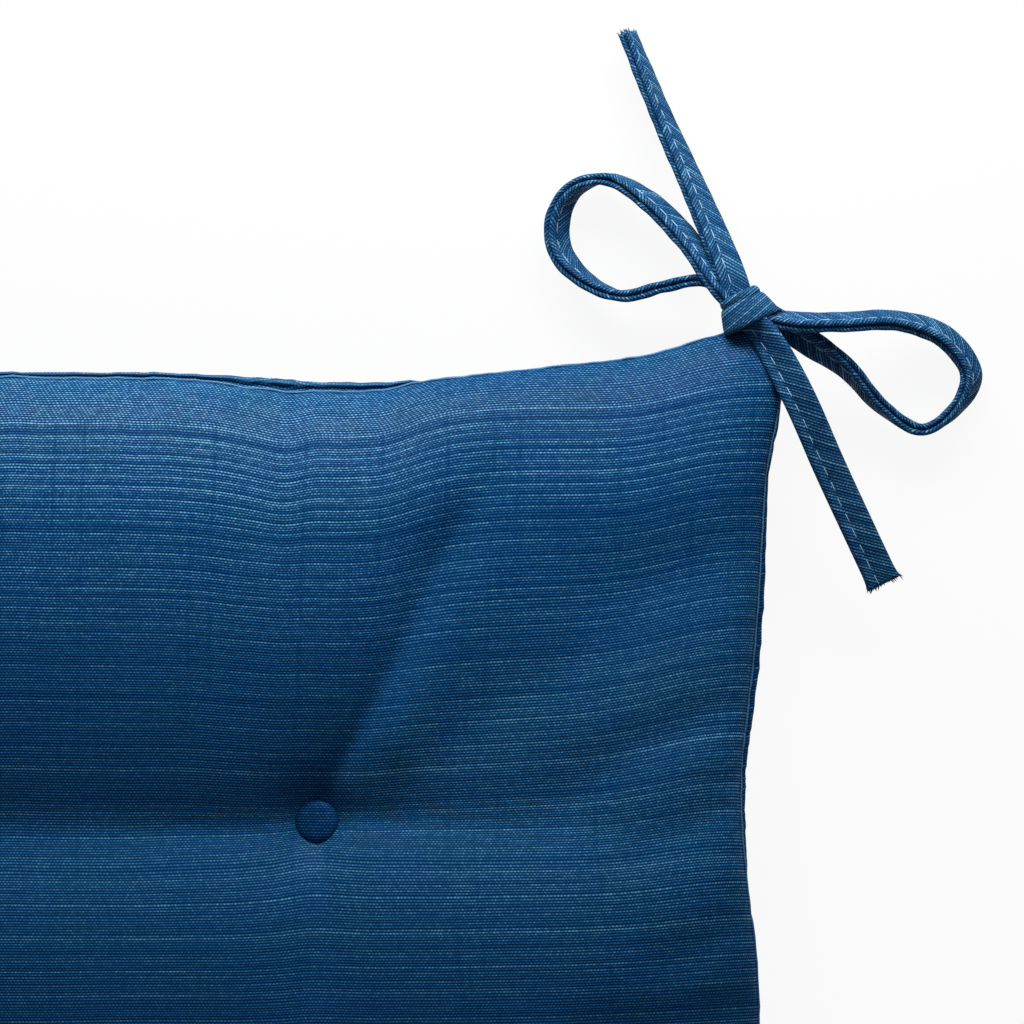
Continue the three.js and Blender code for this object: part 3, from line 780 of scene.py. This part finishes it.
def add_knot(shell, side):
    """The strap's turn round the bow's middle: a short cone of cloth with rolled edges."""
    turn = np.arange(KNOT_SIDES) / KNOT_SIDES * 2 * math.pi
    along = np.array([math.cos(KNOT_LEAN) * side, math.sin(KNOT_LEAN), 0])
    bundle = np.array([math.sin(KNOT_LEAN) * side, -math.cos(KNOT_LEAN), 0])
    up = np.array([0, 0, 1])
    middle = np.array(KNOT_MIDDLE) * [side, 1, 1]
    broad = np.sign(np.cos(turn)) * np.abs(np.cos(turn)) ** 0.72
    high = np.sign(np.sin(turn)) * np.abs(np.sin(turn)) ** 0.8
    rings = []
    run = 0
    before = KNOT_PROFILE[0]
    for out, inset in KNOT_PROFILE:
        wide = KNOT_HALF["wide"] + KNOT_TAPER["wide"] * out - inset
        tall = KNOT_HALF["tall"] + KNOT_TAPER["tall"] * out - inset
        run += math.hypot(out - before[0], inset - before[1])
        before = (out, inset)
        ring = middle + bundle * out + broad[:, None] * along * wide + high[:, None] * up * tall
        # the cloth's rows lie nearly along the band here
        row_x = -turn * KNOT_CLOTH["radius"]
        row_y = (run + broad * wide * KNOT_CLOTH["slant"]) * KNOT_CLOTH["closer"]
        cloth_x = row_x * math.sin(BIAS) + row_y * math.cos(BIAS)
        cloth_y = row_y * math.sin(BIAS) - row_x * math.cos(BIAS) + KNOT_CLOTH["apart"]
        cloth = np.stack([cloth_x, cloth_y], -1)
        rings.append(shell.add_points(ring, cloth))
    shell.add_grid(np.stack(rings), closed=True, turned=side > 0)


def make_tie(side, material):
    """The bow: two loops and two tails, with the knot round their middle."""
    shell = Shell()
    for name in TIE_ROUTES:
        add_strap(shell, name, side)
    add_knot(shell, side)
    name = "right" if side > 0 else "left"
    return shell.build(f"bow_tie_{name}", material, merge=1e-7)


# ---- Stitches -------------------------------------------------------------------------------


def stitch_tree(material):
    """Lays short threads along a path. The path's points hold the way up as the attribute lift."""
    tree = bpy.data.node_groups.new("stitches", "GeometryNodeTree")
    face = tree.interface
    face.new_socket("Geometry", in_out="INPUT", socket_type="NodeSocketGeometry")
    for name, value in (("Pitch", 0.005), ("Length", 0.004), ("Thickness", 0.0003)):
        socket = face.new_socket(name, in_out="INPUT", socket_type="NodeSocketFloat")
        socket.default_value = value
    seed = face.new_socket("Seed", in_out="INPUT", socket_type="NodeSocketInt")
    seed.default_value = 1
    face.new_socket("Geometry", in_out="OUTPUT", socket_type="NodeSocketGeometry")
    start = add_node(tree, "NodeGroupInput").outputs
    curve = add_node(tree, "GeometryNodeMeshToCurve", None, {0: start["Geometry"]})
    even = add_node(tree, "GeometryNodeResampleCurve", {"mode": "LENGTH"},
                    {"Curve": curve.outputs[0], "Length": start["Pitch"]})
    thread = add_node(tree, "GeometryNodeMeshUVSphere", None, {"Segments": 6, "Rings": 5, "Radius": 0.5})
    lift = add_node(tree, "GeometryNodeInputNamedAttribute", {"data_type": "FLOAT_VECTOR"},
                    {"Name": "lift"})
    tangent = add_node(tree, "GeometryNodeInputTangent")
    turn = add_node(tree, "FunctionNodeAxesToRotation", {"primary_axis": "X", "secondary_axis": "Z"},
                    {"Primary Axis": tangent.outputs[0], "Secondary Axis": lift.outputs["Attribute"]})
    chance = add_node(tree, "FunctionNodeRandomValue", {"data_type": "FLOAT"},
                      {2: 0.85, 3: 1.12, "Seed": start["Seed"]})
    longer = add_node(tree, "ShaderNodeMath", {"operation": "MULTIPLY"},
                      {0: start["Length"], 1: chance.outputs[1]})
    size = add_node(tree, "ShaderNodeCombineXYZ", None,
                    {"X": longer.outputs[0], "Y": start["Thickness"], "Z": start["Thickness"]})
    lay = add_node(tree, "GeometryNodeInstanceOnPoints", None,
                   {"Points": even.outputs["Curve"], "Instance": thread.outputs["Mesh"],
                    "Rotation": turn.outputs[0], "Scale": size.outputs[0]})
    real = add_node(tree, "GeometryNodeRealizeInstances", None, {0: lay.outputs[0]})
    finish = add_node(tree, "GeometryNodeSetMaterial", None,
                      {"Geometry": real.outputs[0], "Material": material})
    add_node(tree, "NodeGroupOutput", None, {"Geometry": finish.outputs[0]})
    return tree


def sew(name, lines, tree, sizes):
    """Runs the stitch tree along lines of (points, lifts), in millimetres, and returns a plain mesh."""
    mesh = bpy.data.meshes.new(f"{name}_lines")
    points = np.concatenate([line for line, _ in lines]) * MM
    edges = []
    start = 0
    for line, _ in lines:
        edges += [(start + i, start + i + 1) for i in range(len(line) - 1)]
        start += len(line)
    mesh.from_pydata(points.tolist(), edges, [])
    lift = mesh.attributes.new("lift", "FLOAT_VECTOR", "POINT")
    lifts = np.concatenate([line_lifts for _, line_lifts in lines])
    lift.data.foreach_set("vector", lifts.astype(np.float32).ravel())
    path = new_object(f"{name}_lines", mesh)
    modifier = path.modifiers.new("stitches", "NODES")
    modifier.node_group = tree
    for item in tree.interface.items_tree:
        if item.in_out == "INPUT" and item.name in sizes:
            modifier[item.identifier] = sizes[item.name]
    bpy.context.view_layer.update()
    evaluated = path.evaluated_get(bpy.context.evaluated_depsgraph_get())
    plain = bpy.data.meshes.new_from_object(evaluated)
    plain.shade_smooth()
    bpy.data.objects.remove(path)
    return new_object(name, plain)


def tie_stitch_lines(side):
    """The topstitch on both faces of each stretch, from where it leaves the knot."""
    lines = []
    for name in TIE_ROUTES:
        centre, _, broad, thin, run = strap_frames(TIE_ROUTES[name], side)
        open_side = OPEN_SIDE[name] * side
        # the places that the knot hides, and the last ones at a cut end, have no stitches
        keep = slice(7, -2) if name in FREE_ENDS else slice(8, -8)
        for face in (1, -1):
            line = centre + broad * STITCH_LINE * open_side + thin * face * STITCH_RISE
            line = line + broad * (0.12 * wander(run, 70 + face, (19, 11)))[:, None]
            lines.append((line[keep], (thin * face)[keep]))
    return lines


# ---- Materials ------------------------------------------------------------------------------


def operator(operation, swapped=False):
    """What a wire does for one of Python's operators: it adds that Math node. swapped is for the
    reflected form, as in 1 - wire."""

    def apply(wire, other):
        pair = (other, wire) if swapped else (wire, other)
        return wire.plan.maths(operation, *pair)

    return apply


class Wire:
    """A shader socket that adds, multiplies and so on as a number does."""

    def __init__(self, plan, socket):
        self.plan = plan
        self.socket = socket

    __add__ = operator("ADD")
    __radd__ = operator("ADD", swapped=True)
    __sub__ = operator("SUBTRACT")
    __rsub__ = operator("SUBTRACT", swapped=True)
    __mul__ = operator("MULTIPLY")
    __rmul__ = operator("MULTIPLY", swapped=True)
    __truediv__ = operator("DIVIDE")
    __pow__ = operator("POWER")
    __mod__ = operator("FLOORED_MODULO")


class Plan:
    """A material that is being laid out."""

    def __init__(self, name):
        self.material = bpy.data.materials.new(name)
        self.material.use_nodes = True
        self.tree = self.material.node_tree
        self.tree.nodes.clear()

    def add(self, kind, settings=None, inputs=None, output=0):
        """Adds a node, whose inputs may be wires, and returns the wire from one of its outputs."""
        inputs = {key: value.socket if isinstance(value, Wire) else value
                  for key, value in (inputs or {}).items()}
        node = add_node(self.tree, kind, settings, inputs)
        return Wire(self, node.outputs[output])

    def maths(self, operation, first, second=0.0, third=None):
        inputs = {0: first, 1: second}
        if third is not None:
            inputs[2] = third
        return self.add("ShaderNodeMath", {"operation": operation}, inputs)

    def floor(self, value):
        return self.maths("FLOOR", value)

    def cosine(self, value):
        return self.maths("COSINE", value)

    def between(self, value, low, high):
        """0 below low, 1 above high, smooth between."""
        settings = {"interpolation_type": "SMOOTHSTEP"}
        return self.add("ShaderNodeMapRange", settings, {"Value": value, "From Min": low, "From Max": high})

    def chance(self, value):
        """A number from 0 to 1 that is fixed for each value."""
        return self.add("ShaderNodeTexWhiteNoise", {"noise_dimensions": "1D"}, {"W": value})

    def chance_at(self, x, y):
        """A number from 0 to 1 that is fixed for each pair of values."""
        at = self.add("ShaderNodeCombineXYZ", None, {"X": x, "Y": y})
        return self.add("ShaderNodeTexWhiteNoise", {"noise_dimensions": "2D"}, {"Vector": at})

    def noise(self, x, y, detail=1.0):
        """Soft noise from 0 to 1 over two coordinates."""
        at = self.add("ShaderNodeCombineXYZ", None, {"X": x, "Y": y})
        return self.add("ShaderNodeTexNoise", {"noise_dimensions": "2D"},
                        {"Vector": at, "Scale": 1.0, "Detail": detail, "Roughness": 0.5})

    def noise_along(self, value, scale):
        """Soft noise from 0 to 1 over one coordinate."""
        return self.add("ShaderNodeTexNoise", {"noise_dimensions": "1D"},
                        {"W": value, "Scale": scale, "Detail": 1.0})

    def mix(self, share, first, second):
        """Mixes two colours."""
        return self.add("ShaderNodeMix", {"data_type": "RGBA"}, {0: share, 6: first, 7: second}, 2)

    def finish(self, shader):
        add_node(self.tree, "ShaderNodeOutputMaterial", None, {"Surface": shader.socket})
        return self.material


PICK_PITCH = 0.85 * MM  # from one weft row to the next
DOT_PITCH = 1.09 * MM  # from one raised thread to the next along a row
COARSE_DOT_PITCH = 1.16 * MM
SLUB_EVERY = 0.24  # slub rows to a row
BEYOND_ALL_ROWS = 9999
RIBBED = 0.5  # the share of a row's thread that shows all along it
COARSE_FROM = 0.2365  # in metres from the middle: past it the panel's cloth has no slubs

DARK_GAP = (0.0, 0.024, 0.1)
MID_BLUE = (0.002, 0.05, 0.158)
LIGHT_YARN = (0.03, 0.145, 0.295)
PALE_SLUB = (0.16, 0.42, 0.64)


def weave(plan, x, y, slubs, coarse_from=None):
    """A slubbed plain weave with its rows along x. slubs, a number or a wire, is how strongly they
    show. Returns the weave's tone, its height and its gleam, each about 0 to 1. Past coarse_from the
    rows have no slubs, and their dots lie in slanting lines."""
    # rows of uneven width, each with its threads' raised dots
    uneven = plan.noise_along(y, 150)
    drift = plan.noise(x * 14, y * 9)
    rows = (y + uneven * 0.0009 + drift * 0.0016) / PICK_PITCH
    row = plan.floor(rows)
    across_row = rows - row
    last_slub = BEYOND_ALL_ROWS if coarse_from is None else round(coarse_from / PICK_PITCH)
    coarse = plan.maths("GREATER_THAN", row, last_slub + 0.5)
    slubs = slubs * (1 - coarse)
    pitch = DOT_PITCH + coarse * (COARSE_DOT_PITCH - DOT_PITCH)
    sway = plan.noise(x * 90, y * 6) * 0.7
    along = x / pitch + sway + row * (0.5 - coarse * 0.18) + plan.chance(row + 11.5) * 0.26 * slubs
    dot = 0.5 - plan.cosine(along * (2 * math.pi)) * 0.5
    middle = across_row * 2 - 1
    thread = 1 - middle * middle
    raised = thread**1.7 * (RIBBED + dot**0.8 * (1 - RIBBED))

    # slubs: a bright row in every four or so, in bunches, with a darker row after it
    bunch = plan.noise_along(row, 0.19)
    beat = (row * SLUB_EVERY + bunch * 1.1) % 1.0
    bright_row = plan.maths("LESS_THAN", beat, SLUB_EVERY)
    border = plan.maths("COMPARE", row, last_slub, 0.5)
    bright_row = plan.maths("MAXIMUM", bright_row, border)
    dark_row = plan.maths("COMPARE", beat, 1.5 * SLUB_EVERY, 0.5 * SLUB_EVERY)
    patch = plan.between(plan.noise(x * 22, row * 5.3, 2.0), 0.3, 0.7)
    strong = plan.maths("MAXIMUM", plan.chance(row + 40.5), border)
    glow = bright_row * (0.35 + patch * 0.45 * strong) * slubs
    raised = raised + glow * thread * (1 - dot) * 0.12
    gain = 1 + glow * 0.5 - dark_row * (0.1 + patch * 0.18) * slubs

    # a few thicker warp threads, and each dot's own tone
    end = plan.floor(x / DOT_PITCH)
    thick_end = plan.maths("GREATER_THAN", plan.chance(end + 3.5), 0.93)
    fade = plan.between(plan.noise(y * 16, end * 3.1), 0.35, 0.6) * thick_end * slubs
    tone = raised * gain * (1 - fade * 0.13)
    tone_drift = plan.noise(x * 75, row * 1.7, 2.0)
    own = plan.chance_at(plan.floor(along), row)
    tone = tone * (0.86 + tone_drift * 0.28) * (0.77 + own * 0.32 + strong * 0.08)
    tone = tone + coarse * raised * 0.12
    height = raised * 0.8 + dark_row * thread * 0.3
    return tone, height, tone**1.5


def cloth_colour(plan, tone, x, y):
    """From the weave's tone to its blues, which lean to teal in soft patches."""
    ramp = [(0.0, DARK_GAP), (0.3, MID_BLUE), (0.7, LIGHT_YARN), (1.0, PALE_SLUB)]
    shades = plan.add("ShaderNodeValToRGB", {"stops": ramp}, {"Fac": tone / 1.3})
    teal = plan.between(plan.noise(x * 60, y * 45, 1.0), 0.35, 0.7)
    leaning = plan.mix(teal, (0.96, 0.98, 1.02, 1), (1.02, 1.02, 0.97, 1))
    return plan.add("ShaderNodeMix", {"data_type": "RGBA", "blend_type": "MULTIPLY"},
                    {0: 1.0, 6: shades, 7: leaning}, 2)


def cloth_shader(plan, colour, height, depth, gleam):
    """Matt gaps, with a soft gleam on the raised threads."""
    bump = plan.add("ShaderNodeBump", None, {"Height": height, "Strength": 1.0, "Distance": depth})
    return plan.add("ShaderNodeBsdfPrincipled", None, {
        "Base Color": colour, "Roughness": 0.85, "Normal": bump, "Specular IOR Level": 0.0,
        "Coat Weight": gleam * 0.5, "Coat Roughness": 0.42, "Coat IOR": 1.35,
    })


def own_coordinates(plan):
    """The cloth's own x and y, in metres along and across its rows."""
    uv = plan.add("ShaderNodeUVMap", {"uv_map": "cloth"})
    parts = plan.add("ShaderNodeSeparateXYZ", None, {0: uv})
    return parts, Wire(plan, parts.socket.node.outputs[1])


def panel_cloth():
    """The panels' weave. Painted raking light gives it more contrast and stronger slubs towards the back
    edge, and painted light makes it a little paler along the back row of buttons. The seams' ridges
    get a painted highlight, partly paler thread at the folds, and their grooves painted shade."""
    plan = Plan("panel_cloth")
    x, y = own_coordinates(plan)
    # painted raking light: the weave gets more contrast and stronger slubs towards the back edge
    painted_raking_light = plan.between(y, 0.11, 0.23)
    tone, height, gleam = weave(plan, x, y, slubs=painted_raking_light * 0.35 + 0.65, coarse_from=COARSE_FROM)
    outer = plan.between(plan.maths("ABSOLUTE", x), 0.1, 0.18)
    # painted light along the back row of buttons, brighter towards the sides, weaker nearer the middle
    by_row = 0.35 + plan.between(y, 0.05, 0.08) * 0.65
    front = (1 - plan.between(y - outer * 0.045, 0.09, 0.15)) * by_row
    tone = tone * (0.85 + front * (0.15 + outer * 0.08) + painted_raking_light * (0.46 - outer * 0.17))
    tone = tone - painted_raking_light * 0.16 + front * 0.03 + 0.02
    colour = cloth_colour(plan, tone, x, y)
    # painted light from the edge attribute: a pale highlight on the seams' ridges, partly paler thread at
    # the folds, and dark painted shade in their grooves and under the seam
    edge = plan.add("ShaderNodeAttribute", {"attribute_name": "edge"}, None, 2)
    shade = plan.maths("MAXIMUM", edge * -0.8, 0.0)
    colour = plan.mix(plan.maths("MAXIMUM", edge, 0.0) * 0.55, colour, (0.12, 0.34, 0.62, 1))
    colour = plan.mix(shade, colour, (0.0, 0.012, 0.05, 1))
    return plan.finish(cloth_shader(plan, colour, height, 0.12 * MM, gleam))


def button_cloth():
    """The same weave, stretched smooth over the shells."""
    plan = Plan("button_cloth")
    x, y = own_coordinates(plan)
    tone, height, gleam = weave(plan, x, y, slubs=0.6)
    colour = cloth_colour(plan, tone * 0.9 - 0.04, x, y)
    return plan.finish(cloth_shader(plan, colour, height, 0.14 * MM, gleam))


def strap_cloth():
    """The cloth on the bias, so its rows run slantwise to the strap, and paler, with painted sheen
    on its brighter threads.
    """
    plan = Plan("strap_cloth")
    across, along = own_coordinates(plan)
    x = across * math.sin(BIAS) - along * math.cos(BIAS)
    y = across * math.cos(BIAS) + along * math.sin(BIAS)
    tone, height, gleam = weave(plan, x, y * 0.96, slubs=1.4)
    colour = cloth_colour(plan, tone * 1.02, x, y)
    # painted sheen: the brighter threads are mixed towards a pale blue
    colour = plan.mix(tone * 0.14, colour, (0.2, 0.4, 0.5, 1))
    return plan.finish(cloth_shader(plan, colour, height, 0.18 * MM, gleam))


def sewing_thread():
    """Pale blue thread with a soft sheen."""
    plan = Plan("sewing_thread")
    at = plan.add("ShaderNodeTexCoord", None, None, 3)
    speck = plan.add("ShaderNodeTexNoise", None, {"Vector": at, "Scale": 900, "Detail": 2})
    colour = plan.mix(speck, (0.2, 0.42, 0.66, 1), (0.42, 0.66, 0.88, 1))
    bump = plan.add("ShaderNodeBump", None, {"Height": speck, "Strength": 0.4, "Distance": 0.0001})
    return plan.finish(plan.add("ShaderNodeBsdfPrincipled", None, {
        "Base Color": colour, "Roughness": 0.45, "Normal": bump, "Sheen Weight": 0.2,
    }))


# ---- Floor, light and camera ----------------------------------------------------------------

FRAME_WIDTH = 307.2 * MM  # what the camera sees at the seam's height
FLOOR_HALF = 4
VIEW_MIDDLE = (168.2 * MM, 195.4 * MM)
CAMERA_RISE = 2.0


def floor_material():
    """A pale matt floor, mostly plain white to the camera, so that only a faint shadow shows."""
    plan = Plan("pale_floor")
    grain = plan.add("ShaderNodeTexNoise", None, {"Scale": 40, "Detail": 2})
    pale = plan.mix(grain, (0.86, 0.86, 0.86, 1), (0.9, 0.9, 0.9, 1))
    matt = plan.add("ShaderNodeBsdfDiffuse", None, {"Color": pale})
    white = plan.add("ShaderNodeEmission", None, {"Strength": 1.0})
    path = plan.add("ShaderNodeLightPath")
    seen = plan.maths("MAXIMUM", path, Wire(plan, path.socket.node.outputs["Is Glossy Ray"]))
    mixed = plan.add("ShaderNodeMixShader", None, {0: seen * 0.92, 1: matt, 2: white})
    return plan.finish(mixed)


def make_floor():
    """The surface that the cushion lies on, for the camera only."""
    mesh = bpy.data.meshes.new("floor")
    corners = [(x * FLOOR_HALF, y * FLOOR_HALF, 0) for x, y in ((-1, -1), (1, -1), (1, 1), (-1, 1))]
    mesh.from_pydata(corners, [], [(0, 1, 2, 3)])
    mesh.materials.append(floor_material())
    new_object("floor", mesh)


def add_lamp(name, at, towards, size, watts):
    lamp = bpy.data.lights.new(name, "AREA")
    lamp.shape = "RECTANGLE"
    lamp.size, lamp.size_y = size
    lamp.energy = watts
    holder = new_object(name, lamp)
    holder.location = at
    holder.rotation_euler = (Vector(towards) - Vector(at)).to_track_quat("-Z", "Y").to_euler()


def set_world():
    """Soft light from all round, and plain white to the camera."""
    world = bpy.data.worlds.new("studio")
    bpy.context.scene.world = world
    world.use_nodes = True
    tree = world.node_tree
    tree.nodes.clear()
    soft = add_node(tree, "ShaderNodeBackground", None,
                    {"Color": (0.97, 0.99, 1.0, 1), "Strength": 0.16})
    white = add_node(tree, "ShaderNodeBackground", None, {"Color": (1, 1, 1, 1)})
    path = add_node(tree, "ShaderNodeLightPath")
    mix = add_node(tree, "ShaderNodeMixShader", None,
                   {0: path.outputs["Is Camera Ray"], 1: soft.outputs[0], 2: white.outputs[0]})
    add_node(tree, "ShaderNodeOutputWorld", None, {"Surface": mix.outputs[0]})


def set_camera():
    """Straight above the back right corner, so that FRAME_WIDTH fills the view."""
    camera = bpy.data.cameras.new("camera")
    camera.sensor_width = 36
    camera.lens = camera.sensor_width * CAMERA_RISE / FRAME_WIDTH
    camera.clip_end = 20
    holder = new_object("camera", camera)
    holder.location = (*VIEW_MIDDLE, CAMERA_RISE + SEAM_HEIGHT * MM)
    bpy.context.scene.camera = holder


# ---- Making ---------------------------------------------------------------------------------

bpy.context.scene.view_settings.view_transform = "Standard"
set_camera()
set_world()
make_floor()
add_lamp("back light", (0.13, 0.7, 0.28), (0.05, 0.1, 0.04), (0.7, 0.2), 5.5)

cloth = panel_cloth()
cushion = make_cushion(cloth)
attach(cushion, "root")
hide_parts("cushion")

cover_cloth = button_cloth()
for quarter in QUARTERS:
    for layer in ("top", "under"):
        button = make_button(quarter, layer, cover_cloth)
        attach(button, "root")
        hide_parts(f"button_{layer}_{quarter['name']}")

tape = strap_cloth()
thread = sewing_thread()
tree = stitch_tree(thread)
for side, name in ((1, "right"), (-1, "left")):
    tie = make_tie(side, tape)
    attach(tie, "root")
    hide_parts(f"tie_{name}")
    sizes = {"Pitch": STITCH_PITCH * MM, "Length": 4.1 * MM, "Thickness": 0.34 * MM, "Seed": 3 + side}
    topstitch = sew(f"topstitch_{name}", tie_stitch_lines(side), tree, sizes)
    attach(topstitch, "root")
